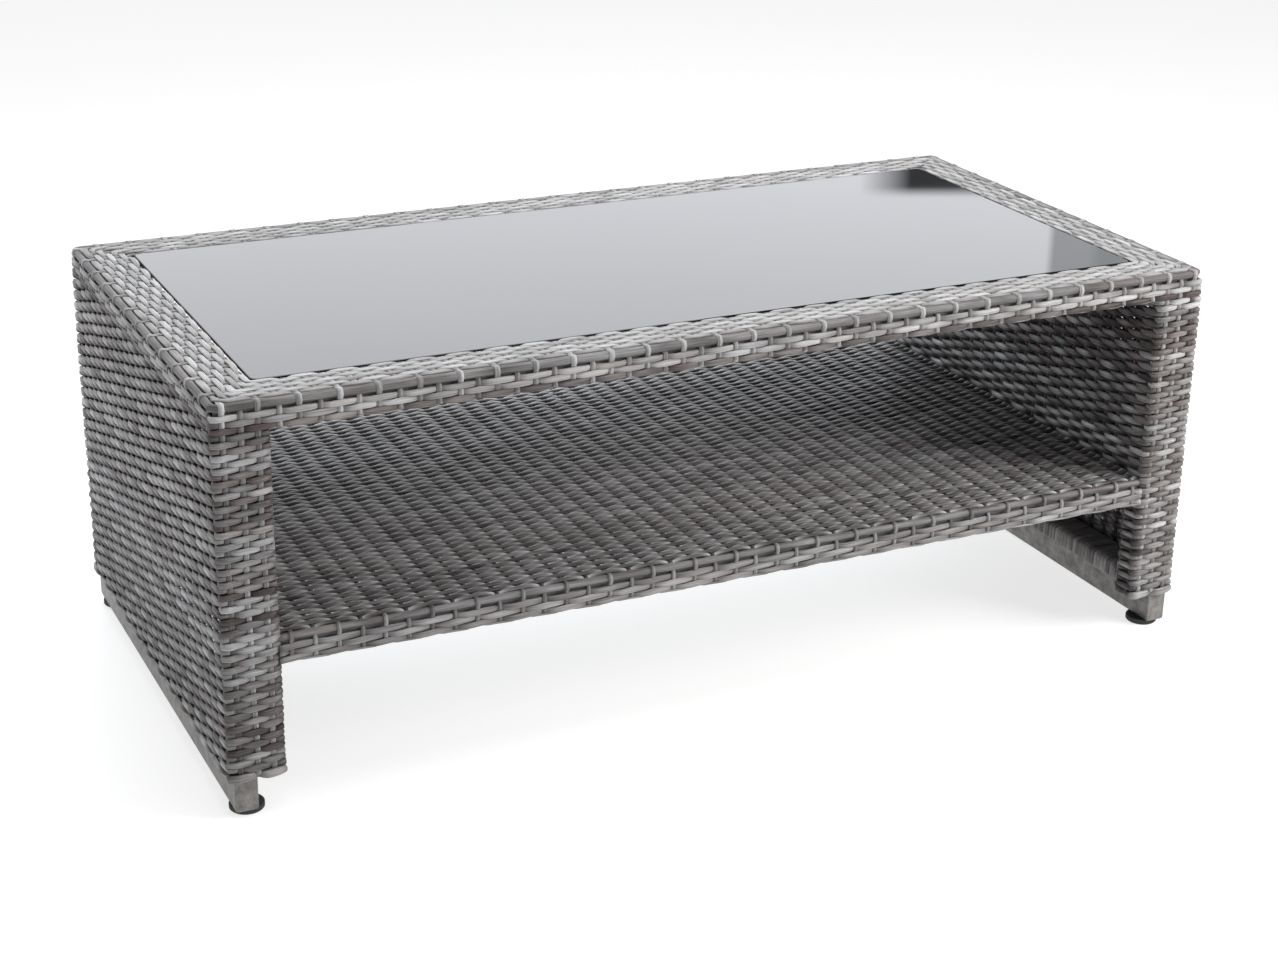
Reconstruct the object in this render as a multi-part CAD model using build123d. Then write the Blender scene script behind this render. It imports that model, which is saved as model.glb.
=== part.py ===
from build123d import *
import math
import os

# Wicker coffee table with an inset glass top, an open lower shelf and two woven
# end frames that stand on bare sled rails with screw-in glides.
# Millimetres. X runs along the table, Y from front to back, Z up from the floor,
# and the origin is on the floor under the middle of the top.

# Overall size
length = 1200.0
width = 600.0
height = 460.0

# Frame tube and woven skin
tube = 25.0                  # square frame tube
tube_wall = 1.5
tube_corner = 2.5            # outside radius along a tube's edges
weave = 4.5                  # thickness of a woven skin over a tube or panel
weave_under = 3.0            # thinner skin on the undersides of the rails
weave_corner = 4.0           # rounding of the woven border's outer edges
table_corner = 9.0           # plan radius of the table's four corners

# Sled rails, glides and the lower rails
glide_thickness = 6.6
glide_radius = 19.0
glide_end_inset = 22.0       # glide centre behind the sled rail's end
glide_side_inset = 22.0      # glide centre inside the table's end face
glide_flutes = 40
glide_flute_depth = 0.7
glide_flute_steps = 4         # outline points on each flute
glide_recess_radius = 9.0    # clears the insert's flange
glide_recess_depth = 1.4
glide_sole_chamfer = 1.5
sled_height = 40.0
sled_front_gap = 1.0         # woven face stands this far proud of the sled's end
end_plate = 2.5
bottom_core_width = 40.0     # flat tube inside the wrapped bottom rail
bottom_core_height = 20.0
strand_coil = 2.3            # one layer of strand coiled round the bottom rail
bottom_core_outer_gap = 2.9  # core to the back of the woven end panel
plug_depth = 14.0
plug_flange = 2.0
plug_edge_gap = 0.3

# Threaded parts
stud_radius = 4.0            # M8
stud_length = 31.0
stud_low = 2.0                # lower end of the stud, inside the glide's base
stud_chamfer = 0.8
running_gap = 0.05           # radial clearance of turning and threaded fits
insert_radius = 5.5
insert_length = 14.0
insert_flange_radius = 7.5
insert_flange = 0.8
bolt_radius = 3.0            # M6
bolt_head_radius = 6.0
bolt_head_height = 4.0
bolt_length = 48.0
bolt_socket_radius = 2.5
bolt_offset = 190.0          # bolts either side of the table's middle
nut_radius = 4.5
nut_length = 16.0

# Lower shelf
shelf_top = 202.6            # top of the woven deck
crossbar_width = 25.0

# Glass and what carries it
glass_thickness = 5.0
glass_gap = 2.0              # all round, between the glass and the border
glass_corner = 6.0
glass_arris = 0.6            # ground edge
bearer = 20.0
bearer_offset = 380.0
bumper_radius = 6.0
bumper_height = 2.0
bumper_edge = 0.4
bumper_offset = 190.0

# Places across the table, from the middle outwards
half_length = length / 2
half_width = width / 2
tube_outer_x = half_length - weave
tube_middle_x = tube_outer_x - tube
tube_inner_x = tube_middle_x - tube
bay_x = tube_inner_x - weave                  # inner face of the legs and inner panels
tube_outer_y = half_width - weave
tube_middle_y = tube_outer_y - tube
tube_inner_y = tube_middle_y - tube
leg_back_y = tube_middle_y - weave
border_inner_y = tube_inner_y - weave

# Levels
sled_bottom = glide_thickness
sled_top = sled_bottom + sled_height
top_tube_high = height - weave
top_tube_low = top_tube_high - tube
border_low = top_tube_low - weave_under
shelf_tube_high = shelf_top - weave
shelf_tube_low = shelf_tube_high - tube
shelf_low = shelf_tube_low - weave_under
core_low = sled_top + strand_coil
core_high = core_low + bottom_core_height
glass_low = height - glass_thickness
bearer_high = glass_low - bumper_height

left, right = -1, 1
front, back = -1, 1
END_NAMES = {left: "left", right: "right"}
SIDE_NAMES = {front: "front", back: "back"}
AXES = {"x": Axis.X, "y": Axis.Y, "z": Axis.Z}


def span(sign, near, far):
    """Limits of a piece that lies between near and far on one side of the middle."""
    return (near, far) if sign > 0 else (-far, -near)


def both(reach):
    return (-reach, reach)


def block(x, y, z):
    size = [high - low for low, high in (x, y, z)]
    middle = [(high + low) / 2 for low, high in (x, y, z)]
    return Pos(*middle) * Box(*size)


def rounded_block(axis, x, y, z, radius):
    solid = block(x, y, z)
    return fillet(solid.edges().filter_by(AXES[axis]), radius)


def shrink(limits, amount):
    return (limits[0] + amount, limits[1] - amount)


def rail(axis, x, y, z, wall=tube_wall):
    """A hollow tube along axis, open at its ends."""
    bore = {"x": x, "y": y, "z": z}
    for name in bore:
        bore[name] = shrink(bore[name], wall if name != axis else 0)
    return rounded_block(axis, x, y, z, tube_corner) - block(bore["x"], bore["y"], bore["z"])


def save(shape, name):
    shape.label = name
    export_step(shape, f"parts/{name}.step")


# --- Where the frame runs: each entry is a solid envelope, used to cut the skins ---

def top_ring():
    outer = block(both(tube_outer_x), both(tube_outer_y), (top_tube_low, top_tube_high))
    inner = block(both(tube_inner_x), both(tube_inner_y), (top_tube_low, top_tube_high))
    return outer - inner


def leg_core(end, side):
    return block(span(end, tube_inner_x, tube_outer_x), span(side, tube_middle_y, tube_outer_y),
                 (sled_top, top_tube_low))


def bottom_core_limits(end):
    outer = tube_outer_x - bottom_core_outer_gap
    return span(end, outer - bottom_core_width, outer)


def bottom_core(end):
    return block(bottom_core_limits(end), both(tube_middle_y), (core_low, core_high))


def support_core(end):
    return block(span(end, tube_inner_x, tube_middle_x), both(tube_middle_y),
                 (shelf_tube_low, shelf_tube_high))


def shelf_side_core(end):
    return block(span(end, bay_x - tube, bay_x), both(tube_middle_y),
                 (shelf_tube_low, shelf_tube_high))


def crossbar_core():
    return block(both(crossbar_width / 2), both(tube_middle_y), (shelf_tube_low, shelf_tube_high))


def bearer_limits(place):
    return (place - bearer / 2, place + bearer / 2)


def bearer_cores():
    return [block(bearer_limits(place), both(tube_inner_y), (bearer_high - bearer, bearer_high))
            for place in (-bearer_offset, 0, bearer_offset)]


# --- Top frame ---

def make_top_frame():
    level = (top_tube_low, top_tube_high)
    for side, side_name in SIDE_NAMES.items():
        outer = rail("x", both(tube_outer_x), span(side, tube_middle_y, tube_outer_y), level)
        inner = rail("x", both(tube_middle_x), span(side, tube_inner_y, tube_middle_y), level)
        save(outer, f"top_outer_rail_{side_name}")
        save(inner, f"top_inner_rail_{side_name}")
    for end, end_name in END_NAMES.items():
        outer = rail("y", span(end, tube_middle_x, tube_outer_x), both(tube_middle_y), level)
        inner = rail("y", span(end, tube_inner_x, tube_middle_x), both(tube_inner_y), level)
        save(outer, f"top_outer_rail_{end_name}")
        save(inner, f"top_inner_rail_{end_name}")


def make_glass_support():
    bearers = [rail("y", bearer_limits(place), both(tube_inner_y), (bearer_high - bearer, bearer_high))
               for place in (-bearer_offset, 0, bearer_offset)]
    save(Compound(bearers), "glass_bearers")
    bumper = fillet(Cylinder(bumper_radius, bumper_height).edges().sort_by(Axis.Z)[0], bumper_edge)
    bumpers = [Pos(x, y, bearer_high + bumper_height / 2) * bumper
               for x in (-bearer_offset, 0, bearer_offset)
               for y in (-bumper_offset, 0, bumper_offset)]
    save(Compound(bumpers), "glass_bumpers")


def make_glass():
    half_x = bay_x - glass_gap
    half_y = border_inner_y - glass_gap
    pane = rounded_block("z", both(half_x), both(half_y), (glass_low, height), glass_corner)
    rims = pane.faces().filter_by(Axis.Z).edges()
    save(chamfer(rims, glass_arris), "glass_top")


# --- End frames ---

def make_legs():
    for end, end_name in END_NAMES.items():
        for side, side_name in SIDE_NAMES.items():
            corner = f"{end_name}_{side_name}"
            depth = span(side, tube_middle_y, tube_outer_y)
            outer = rail("z", span(end, tube_middle_x, tube_outer_x), depth,
                         (sled_top, top_tube_low))
            inner = rail("z", span(end, tube_inner_x, tube_middle_x), depth,
                         (sled_top + plug_flange, top_tube_low))
            save(outer, f"outer_post_{corner}")
            save(inner, f"inner_post_{corner}")
            skin = rounded_block("z", span(end, bay_x, half_length), span(side, leg_back_y, half_width),
                                 (sled_top, border_low), weave_corner)
            skin = skin - leg_core(end, side) - bottom_core(end) - support_core(end)
            save(skin, f"leg_wicker_{corner}")


def make_post_plugs():
    """Push-in plugs that close the lower ends of the four inner posts."""
    plugs = []
    for end in END_NAMES:
        for side in SIDE_NAMES:
            x = span(end, tube_inner_x, tube_middle_x)
            y = span(side, tube_middle_y, tube_outer_y)
            flange = block(shrink(x, plug_edge_gap), shrink(y, plug_edge_gap),
                           (sled_top, sled_top + plug_flange))
            stem = block(shrink(x, tube_wall), shrink(y, tube_wall),
                         (sled_top + plug_flange, sled_top + plug_flange + plug_depth))
            hollow = block(shrink(x, tube_wall * 2), shrink(y, tube_wall * 2),
                           (sled_top + plug_flange, sled_top + plug_flange + plug_depth))
            plugs.append(flange + (stem - hollow))
    save(Compound(plugs), "post_plugs")


def bolt_places():
    return [(end, y) for end in END_NAMES for y in both(bolt_offset)]


def along_x(end, y, start, depth, radius):
    """A cylinder across the end frame, from start outwards, at the shelf bolts' level."""
    middle = end * (start + depth / 2)
    return Pos(middle, y, (shelf_tube_low + shelf_tube_high) / 2) * Rot(0, 90, 0) * Cylinder(radius, depth)


def make_end_rails():
    for end, end_name in END_NAMES.items():
        support = rail("y", span(end, tube_inner_x, tube_middle_x), both(tube_middle_y),
                       (shelf_tube_low, shelf_tube_high))
        for y in both(bolt_offset):
            support -= along_x(end, y, tube_inner_x, tube_wall, nut_radius)
        save(support, f"shelf_support_rail_{end_name}")
        core = rail("y", bottom_core_limits(end), both(tube_middle_y), (core_low, core_high))
        save(core, f"bottom_rail_{end_name}")
        coil_x = bottom_core_limits(end)
        coil = rounded_block("y", (coil_x[0] - strand_coil, coil_x[1] + strand_coil), both(leg_back_y),
                             (sled_top, core_high + strand_coil), strand_coil)
        save(coil - bottom_core(end), f"bottom_rail_wicker_{end_name}")


def make_end_panels():
    for end, end_name in END_NAMES.items():
        outer = block(span(end, tube_outer_x, half_length), both(leg_back_y), (sled_top, border_low))
        save(outer, f"end_panel_{end_name}")
        inner = block(span(end, bay_x, tube_inner_x), both(leg_back_y), (shelf_low, border_low))
        for y in both(bolt_offset):
            inner -= along_x(end, y, bay_x, weave, bolt_radius + running_gap)
        save(inner, f"inner_panel_{end_name}")


# --- Woven border round the glass ---

def make_border():
    cuts = top_ring()
    cores = [leg_core(end, side) for end in END_NAMES for side in SIDE_NAMES] + bearer_cores()
    level = (border_low, height)
    plate = block(both(half_length), both(half_width), level)
    plate = fillet(plate.edges().filter_by(Axis.Z), table_corner)
    plate = fillet(plate.faces().sort_by(Axis.Z)[-1].edges(), weave_corner)
    plate = plate - cuts
    for core in cores:
        plate = plate - core
    for side, side_name in SIDE_NAMES.items():
        strip = plate & block(both(half_length), span(side, border_inner_y, half_width), level)
        save(strip, f"border_wicker_{side_name}")
    for end, end_name in END_NAMES.items():
        strip = plate & block(span(end, bay_x, half_length), both(border_inner_y), level)
        save(strip, f"border_wicker_{end_name}")


# --- Lower shelf ---

def make_shelf():
    level = (shelf_tube_low, shelf_tube_high)
    for side, side_name in SIDE_NAMES.items():
        tube_y = span(side, tube_middle_y, tube_outer_y)
        save(rail("x", both(bay_x), tube_y, level), f"shelf_rail_{side_name}")
        skin = rounded_block("x", both(bay_x), span(side, leg_back_y, half_width),
                             (shelf_low, shelf_top), weave_under)
        skin = skin - block(both(bay_x), tube_y, level) - crossbar_core()
        for end in END_NAMES:
            skin = skin - shelf_side_core(end)
        save(skin, f"shelf_wicker_{side_name}")
    for end, end_name in END_NAMES.items():
        side_rail = rail("y", span(end, bay_x - tube, bay_x), both(tube_middle_y), level)
        for y in both(bolt_offset):
            side_rail -= along_x(end, y, bay_x - tube, tube, bolt_radius + running_gap)
        save(side_rail, f"shelf_rail_{end_name}")
    save(rail("y", both(crossbar_width / 2), both(tube_middle_y), level), "shelf_crossbar")
    save(block(both(bay_x), both(leg_back_y), (shelf_tube_high, shelf_top)), "shelf_deck")


def make_shelf_bolts():
    """Bolts from inside the shelf frame into threaded nuts in the support rails."""
    bolts = []
    nuts = []
    start = bay_x - tube
    for end, y in bolt_places():
        head = along_x(end, y, start - bolt_head_height, bolt_head_height, bolt_head_radius)
        socket = along_x(end, y, start - bolt_head_height, bolt_head_height / 2, bolt_socket_radius)
        shank = along_x(end, y, start, bolt_length, bolt_radius)
        bolts.append(head + shank - socket)
        nut = along_x(end, y, tube_inner_x, nut_length, nut_radius)
        nuts.append(nut - along_x(end, y, tube_inner_x, nut_length, bolt_radius + running_gap))
    save(Compound(bolts), "shelf_bolts")
    save(Compound(nuts), "shelf_rivet_nuts")


# --- Sled rails and glides ---

def glide_place(end, side):
    return (end * (half_length - glide_side_inset), side * (half_width - glide_end_inset))


def upright(place, low, high, radius):
    return Pos(place[0], place[1], (low + high) / 2) * Cylinder(radius, high - low)


def make_sleds():
    end_y = half_width - sled_front_gap
    level = (sled_bottom, sled_top)
    plates = []
    inserts = []
    for end, end_name in END_NAMES.items():
        sled_x = span(end, tube_middle_x, tube_outer_x)
        sled = rail("y", sled_x, both(end_y - end_plate), level)
        for side in SIDE_NAMES:
            place = glide_place(end, side)
            sled -= upright(place, sled_bottom, sled_bottom + tube_wall, insert_radius)
            flange = upright(place, sled_bottom - insert_flange, sled_bottom, insert_flange_radius)
            body = upright(place, sled_bottom, sled_bottom + insert_length, insert_radius)
            bore = upright(place, sled_bottom - insert_flange, sled_bottom + insert_length,
                           stud_radius + running_gap)
            inserts.append(flange + body - bore)
            plate = rounded_block("y", sled_x, span(side, end_y - end_plate, end_y), level, tube_corner)
            outer_rim = plate.faces().sort_by(Axis.Y)[0 if side < 0 else -1].edges()
            plates.append(fillet(outer_rim, end_plate / 2))
        save(sled, f"sled_rail_{end_name}")
    save(Compound(plates), "sled_end_plates")
    save(Compound(inserts), "glide_inserts")


def knurled_disc():
    """Outline of the glide's rim: shallow flutes all the way round."""
    steps = glide_flutes * glide_flute_steps
    points = []
    for step in range(steps):
        turn = 2 * math.pi * step / steps
        radius = glide_radius - glide_flute_depth * (0.5 + 0.5 * math.cos(glide_flutes * turn))
        points.append((radius * math.cos(turn), radius * math.sin(turn)))
    return extrude(make_face(Polyline(*points, close=True)), glide_thickness)


def make_glides():
    blank = upright((0, 0), 0, glide_thickness, glide_radius)
    blank = chamfer(blank.edges().sort_by(Axis.Z)[0], glide_sole_chamfer)
    foot = knurled_disc() & blank
    recess = upright((0, 0), glide_thickness - glide_recess_depth, glide_thickness, glide_recess_radius)
    socket = upright((0, 0), stud_low, glide_thickness, stud_radius + running_gap)
    foot = foot - recess - socket
    stud = upright((0, 0), stud_low, stud_low + stud_length, stud_radius)
    stud = chamfer(stud.edges().sort_by(Axis.Z)[-1], stud_chamfer)
    for end, end_name in END_NAMES.items():
        for side, side_name in SIDE_NAMES.items():
            place = Pos(*glide_place(end, side), 0)
            save(place * foot, f"glide_base_{end_name}_{side_name}")
            save(place * stud, f"glide_stud_{end_name}_{side_name}")


os.makedirs("parts", exist_ok=True)
make_top_frame()
make_glass_support()
make_glass()
make_legs()
make_post_plugs()
make_end_rails()
make_end_panels()
make_border()
make_shelf()
make_shelf_bolts()
make_sleds()
make_glides()
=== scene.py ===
import math

import bpy
import numpy as np
from mathutils import Matrix, Vector


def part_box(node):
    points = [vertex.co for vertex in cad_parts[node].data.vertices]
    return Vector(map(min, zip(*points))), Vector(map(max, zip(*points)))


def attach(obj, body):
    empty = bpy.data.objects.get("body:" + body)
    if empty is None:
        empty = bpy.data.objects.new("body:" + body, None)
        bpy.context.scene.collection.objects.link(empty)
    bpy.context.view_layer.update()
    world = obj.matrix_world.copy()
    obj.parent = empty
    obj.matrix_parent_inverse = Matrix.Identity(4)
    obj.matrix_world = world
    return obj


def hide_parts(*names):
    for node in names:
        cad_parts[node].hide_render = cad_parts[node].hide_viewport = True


# The looks of a wicker coffee table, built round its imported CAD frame.
# The weave is worked out in millimetres and put into the scene in metres.

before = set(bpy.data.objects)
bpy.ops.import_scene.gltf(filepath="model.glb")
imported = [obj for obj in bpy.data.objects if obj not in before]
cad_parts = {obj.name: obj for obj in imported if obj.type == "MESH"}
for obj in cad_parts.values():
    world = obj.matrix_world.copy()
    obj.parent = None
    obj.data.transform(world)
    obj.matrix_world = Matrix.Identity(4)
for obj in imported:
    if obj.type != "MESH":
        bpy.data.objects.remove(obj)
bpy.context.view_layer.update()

MM = 0.001
UP = np.array([0.0, 0.0, 1.0])


def node_box(name):
    """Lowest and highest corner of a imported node, in millimetres."""
    low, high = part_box(name)
    return np.array(low) / MM, np.array(high) / MM


# Levels and faces of the woven parts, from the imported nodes
border_low_corner, border_high_corner = node_box("border_wicker_front")
HALF_LENGTH = border_high_corner[0]
HALF_WIDTH = -border_low_corner[1]
TOP = border_high_corner[2]
BORDER_LOW = border_low_corner[2]
BORDER_IN_Y = -border_high_corner[1]
BORDER_IN_X = -node_box("border_wicker_left")[1][0]
WEAVE_LOW = node_box("leg_wicker_left_front")[0][2]
LEG_BACK_Y = -node_box("leg_wicker_left_front")[1][1]
SHELF_TOP = node_box("shelf_deck")[1][2]
SHELF_LOW = node_box("shelf_wicker_front")[0][2]

# Sizes of the weave, in millimetres
SKIN_DEPTH = 1.4             # middle of the weave below its outer face
WEFT_THICK = 3.6
WEFT_SWING = 1.9             # how far a weft moves out over a stake and in under it
STAKE_THICK = 1.4
STAKE_SWING = 1.0
STAKE_HALF = 3.0             # half a stake's width
BORDER_RISE = 0.5            # the border's lowest row above the border's lower face
END_ROWS = 56
ROW = (BORDER_LOW + BORDER_RISE - WEAVE_LOW) / END_ROWS
CORD_RADIUS = 4.6
CORD_TURN = 10.0             # radius of the stakes' turn over the cord
APRON_ROWS = 3
TOP_ROWS = 7
TOP_PITCH = 7.0
INNER_ROWS = 4
UNDER_ROWS = 7
CORNER_PLACES = (11.7, 30.0, 48.5)      # stakes in from a corner
CORNER_STAKES = len(CORNER_PLACES)
FRONT_STAKES = 51            # between the corners
SIDE_COUNT = 24
LEG_BEND_OUT, LEG_BEND_IN = 4.2, 3.6    # radii of the rows' bends at the legs

# A weft stays level over a stake, then dives within this part of the way to the next
DIVE_START, DIVE_END = 0.66, 0.90
RING_PLACES = np.array([0.0, 0.1, 0.22, 0.5, 0.78, 0.9])   # a weft's rings between two stakes
STEPS = len(RING_PLACES)
STAKE_STEPS = 3
BEND_STEPS = 8
MAP_LENGTH = 10.0            # length of strand for one unit of its map

# Lengths over which a weft's place, width, height, lightness and warmth wander
WANDER_RUNS = (13.0, 60.0)
WIDTH_RUN, LIFT_RUN = 16.0, 20.0
TONE_RUNS = (45.0, 170.0)
WARM_RUN = 120.0
SEAM_FADE = 40.0             # a closed weft's end fades into its start
CORNER_SWELL, CORNER_REACH = 0.32, 9.0
INNER_REACH, INNER_SHADE = 9.0, 2.4     # the ends' inner faces are darker by this factor: painted shade

# Stakes sink into the ends' side faces; there, and on the shelf's deck, painted shade darkens them
SUNK_SWING, SUNK_DEPTH, SHADED_STAKE_LIGHT = 0.3, 1.0, 0.06
BINDER_REACH, BINDER_SPREAD, BINDER_LIGHT = 6.5, 0.35, 0.1

# Sections of the strands: across and out, in half widths and thicknesses
WEFT_PROFILE, FLAT_PROFILE = [
    np.array([(-1.0, -0.5), (-0.9, edge), (-0.45, 0.5), (0.45, 0.5), (0.9, edge), (1.0, -0.5)])
    for edge in (0.18, 0.28)
]
STAKE_PROFILE = np.array([(-1.0, -0.5), (-0.86, 0.5), (0.0, 0.26), (0.86, 0.5), (1.0, -0.5)])
ROUND_SIDES, ROUND_START = 8, 0.3
ROUND_PROFILE = np.array(
    [(-math.cos(a), 0.5 * math.sin(a))
     for a in np.arange(ROUND_SIDES) * math.tau / ROUND_SIDES - ROUND_START]
)


# --- Small tools ---


def ramp_noise(t, scale, rng):
    """Smooth random values between -1 and 1 along t."""
    t = np.asarray(t, float)
    low = math.floor(t.min() / scale) - 1
    knots = rng.uniform(-1, 1, int(t.max() / scale) - low + 4)
    place = t / scale - low
    k = np.floor(place).astype(int)
    f = place - k
    f = f * f * (3 - 2 * f)
    return knots[k] * (1 - f) + knots[k + 1] * f


def part_way(t, places):
    """The place before each t, by number, and the part of the way from it to the next."""
    k = np.clip(np.searchsorted(places, t, side="right") - 1, 0, len(places) - 2)
    return k, np.clip((t - places[k]) / (places[k + 1] - places[k]), 0, 1)


def cosine_between(t, places, values):
    """Values at places, joined by half waves."""
    k, f = part_way(t, places)
    return values[k] + (values[k + 1] - values[k]) * (1 - np.cos(np.pi * f)) / 2


def dive_between(t, places, values):
    """Values at places: long and flat at the higher one, a short dive to the lower one."""
    k, f = part_way(t, places)
    f = np.where(values[k] >= values[k + 1], f, 1 - f)
    f = np.clip((f - DIVE_START) / (DIVE_END - DIVE_START), 0, 1)
    f = f * f * (3 - 2 * f)
    high, low = np.maximum(values[k], values[k + 1]), np.minimum(values[k], values[k + 1])
    return high + (low - high) * f


def climb_between(t, places, values):
    """1 half way down from a crest to a dip along t, -1 half way up."""
    k, f = part_way(t, places)
    return np.sign(values[k] - values[k + 1]) * np.sin(np.pi * f)


class Route:
    """A path with rounded corners in a plane, by the distance along it."""

    def __init__(self, corners, radii, closed):
        points = np.array(corners, float)
        count = len(points)
        if np.isscalar(radii):
            radii = [radii] * count
        self.closed = closed
        places, headings, arcs = [], [], []
        for i in range(count):
            ahead = points[(i + 1) % count] - points[i]
            behind = points[i] - points[i - 1]
            if not closed and i == 0:
                places.append(points[i])
                headings.append(math.atan2(ahead[1], ahead[0]))
                arcs.append(0.0)
                continue
            start = math.atan2(behind[1], behind[0])
            if headings:
                start += math.tau * round((headings[-1] - start) / math.tau)
            if not closed and i == count - 1:
                places.append(points[i])
                headings.append(start)
                arcs.append(0.0)
                continue
            turn = math.atan2(ahead[1], ahead[0]) - start
            turn = (turn + math.pi) % math.tau - math.pi
            radius, side = radii[i], math.copysign(1, turn)
            first = points[i] - behind / np.linalg.norm(behind) * radius * math.tan(abs(turn) / 2)
            centre = first + side * radius * np.array([-math.sin(start), math.cos(start)])
            for step in range(BEND_STEPS + 1):
                heading = start + turn * step / BEND_STEPS
                spoke = np.array([math.sin(heading), -math.cos(heading)])
                places.append(centre + side * radius * spoke)
                headings.append(heading)
                arcs.append(0.0 if step == 0 else radius * abs(turn) / BEND_STEPS)
        if closed:
            places.append(places[0])
            around = round((headings[-1] - headings[0]) / math.tau)
            headings.append(headings[0] + math.tau * around)
            arcs.append(0.0)
        places = np.array(places)
        steps = np.linalg.norm(np.diff(places, axis=0), axis=1)
        steps = np.where(np.array(arcs[1:]) > 0, arcs[1:], steps)
        self.distance = np.concatenate([[0], np.cumsum(steps)])
        self.places = places
        self.headings = np.array(headings)
        self.length = self.distance[-1]
        self.fine = np.linspace(0, self.length, int(self.length) + 2)
        self.fine_places = self.at(self.fine)[0]
        self.fine_headings = self.at(self.fine)[1]

    def at(self, t):
        """Places and headings at distances along the route."""
        if self.closed:
            t = np.where(t == self.length, t, np.mod(t, self.length))
        x = np.interp(t, self.distance, self.places[:, 0])
        y = np.interp(t, self.distance, self.places[:, 1])
        return np.stack([x, y], 1), np.interp(t, self.distance, self.headings)

    def near(self, points):
        """Distances along the route of the places nearest to points."""
        points = np.atleast_2d(points)
        k = np.argmin(((points[:, None] - self.fine_places[None]) ** 2).sum(2), axis=1)
        heading = self.fine_headings[k]
        along = np.stack([np.cos(heading), np.sin(heading)], 1)
        return self.fine[k] + ((points - self.fine_places[k]) * along).sum(1)


class Strands:
    """Collects the strands of one piece, each a closed solid strip."""

    def __init__(self):
        self.points, self.quads, self.caps = [], [], []
        self.corner_uv, self.tones = [], []
        self.count = 0

    def add(self, middle, out, across, half_width, thick, along, tone, profile, closed=False):
        rings, sides = len(middle), len(profile)
        wide = across * np.broadcast_to(half_width, rings)[:, None]
        deep = out * np.broadcast_to(thick, rings)[:, None]
        points = (
            middle[:, None]
            + wide[:, None] * profile[None, :, 0, None]
            + deep[:, None] * profile[None, :, 1, None]
        )
        self.points.append(points.reshape(-1, 3))
        last = rings if closed else rings - 1
        i, k = np.meshgrid(np.arange(last), np.arange(sides), indexing="ij")
        i2, k2 = (i + 1) % rings, (k + 1) % sides
        quads = np.stack([i * sides + k, i2 * sides + k, i2 * sides + k2, i * sides + k2], -1)
        u = np.arange(sides) / (sides - 1)
        v = np.concatenate([along, [along[-1] + (along[-1] - along[-2])]]) / MAP_LENGTH
        corners = ((k, i), (k, i + 1), (k2, i + 1), (k2, i))
        uv = np.stack([np.stack([u[a], v[b]], -1) for a, b in corners], -2)
        m = rings // 2
        heading = middle[min(m + 1, rings - 1)] - middle[m - 1]
        caps = [np.arange(sides), np.arange(sides)[::-1] + (rings - 1) * sides]
        if np.dot(np.cross(across[m], out[m]), heading) < 0:
            quads, uv = quads[..., ::-1], uv[..., ::-1, :]
            caps = [c[::-1] for c in caps]
        self.quads.append(quads.reshape(-1, 4) + self.count)
        self.corner_uv.append(uv.reshape(-1, 2))
        if not closed:
            self.caps += [c + self.count for c in caps]
        self.tones.append(np.repeat(tone, sides, axis=0))
        self.count += rings * sides

    def build(self, name, material, *replaced):
        points = np.concatenate(self.points) * MM
        quads = np.concatenate(self.quads)
        mesh = bpy.data.meshes.new(name)
        cap_corners = np.concatenate(self.caps) if self.caps else np.zeros(0, int)
        corners = np.concatenate([quads.ravel(), cap_corners])
        totals = np.concatenate(
            [np.full(len(quads), 4), np.array([len(c) for c in self.caps], int)]
        ).astype(np.int32)
        mesh.vertices.add(len(points))
        mesh.vertices.foreach_set("co", points.astype(np.float32).ravel())
        mesh.loops.add(len(corners))
        mesh.loops.foreach_set("vertex_index", corners.astype(np.int32))
        mesh.polygons.add(len(totals))
        starts = np.concatenate([[0], np.cumsum(totals)[:-1]]).astype(np.int32)
        mesh.polygons.foreach_set("loop_start", starts)
        mesh.update(calc_edges=True)
        mesh.polygons.foreach_set("use_smooth", np.ones(len(totals), bool))
        uv = np.zeros((len(corners), 2), np.float32)
        uv[: len(quads) * 4] = np.concatenate(self.corner_uv)
        layer = mesh.uv_layers.new(name="strand")
        layer.data.foreach_set("uv", uv.ravel())
        tones = mesh.color_attributes.new("tone", "FLOAT_COLOR", "POINT")
        colour = np.ones((len(points), 4), np.float32)
        colour[:, :3] = np.concatenate(self.tones)
        tones.data.foreach_set("color", colour.ravel())
        mesh.materials.append(material)
        piece = bpy.data.objects.new(name, mesh)
        bpy.context.scene.collection.objects.link(piece)
        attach(piece, "frame")
        if replaced:
            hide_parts(*replaced)


def strand_tone(t, light, spread, rng, warm):
    """Lightness, warmth and a number of its own for each ring of a strand."""
    tone = light + spread * (0.5 * rng.uniform(-1, 1) + ramp_noise(t, TONE_RUNS[0], rng))
    tone += 0.5 * spread * ramp_noise(t, TONE_RUNS[1], rng)
    warmth = warm + 0.3 * ramp_noise(t, WARM_RUN, rng) + 0.15 * rng.uniform(-1, 1)
    own = np.full(len(t), rng.uniform(0, 1))
    return np.stack([np.clip(tone, 0, 1), np.clip(warmth, 0, 1), own], 1)


def places_between(crossings, steps, start, end, closed):
    """Ring places: the same number between each two crossings."""
    if closed:
        ring = np.concatenate([crossings, [crossings[0] + end]])
    else:
        first, last = crossings[0], crossings[-1]
        lead = max(1, round(steps * (first - start) / (crossings[1] - first)))
        tail = max(1, round(steps * (end - last) / (last - crossings[-2])))
        before = np.linspace(start, first, lead + 1)[:-1]
        after = np.linspace(last, end, tail + 1)[1:]
        ring = crossings
    if steps == STEPS:
        parts = [a + (b - a) * RING_PLACES for a, b in zip(ring[:-1], ring[1:])]
    else:
        parts = [np.linspace(a, b, steps + 1)[:-1] for a, b in zip(ring[:-1], ring[1:])]
    middle = np.concatenate(parts)
    if closed:
        return middle
    return np.concatenate([before, middle, [crossings[-1]], after])


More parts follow.
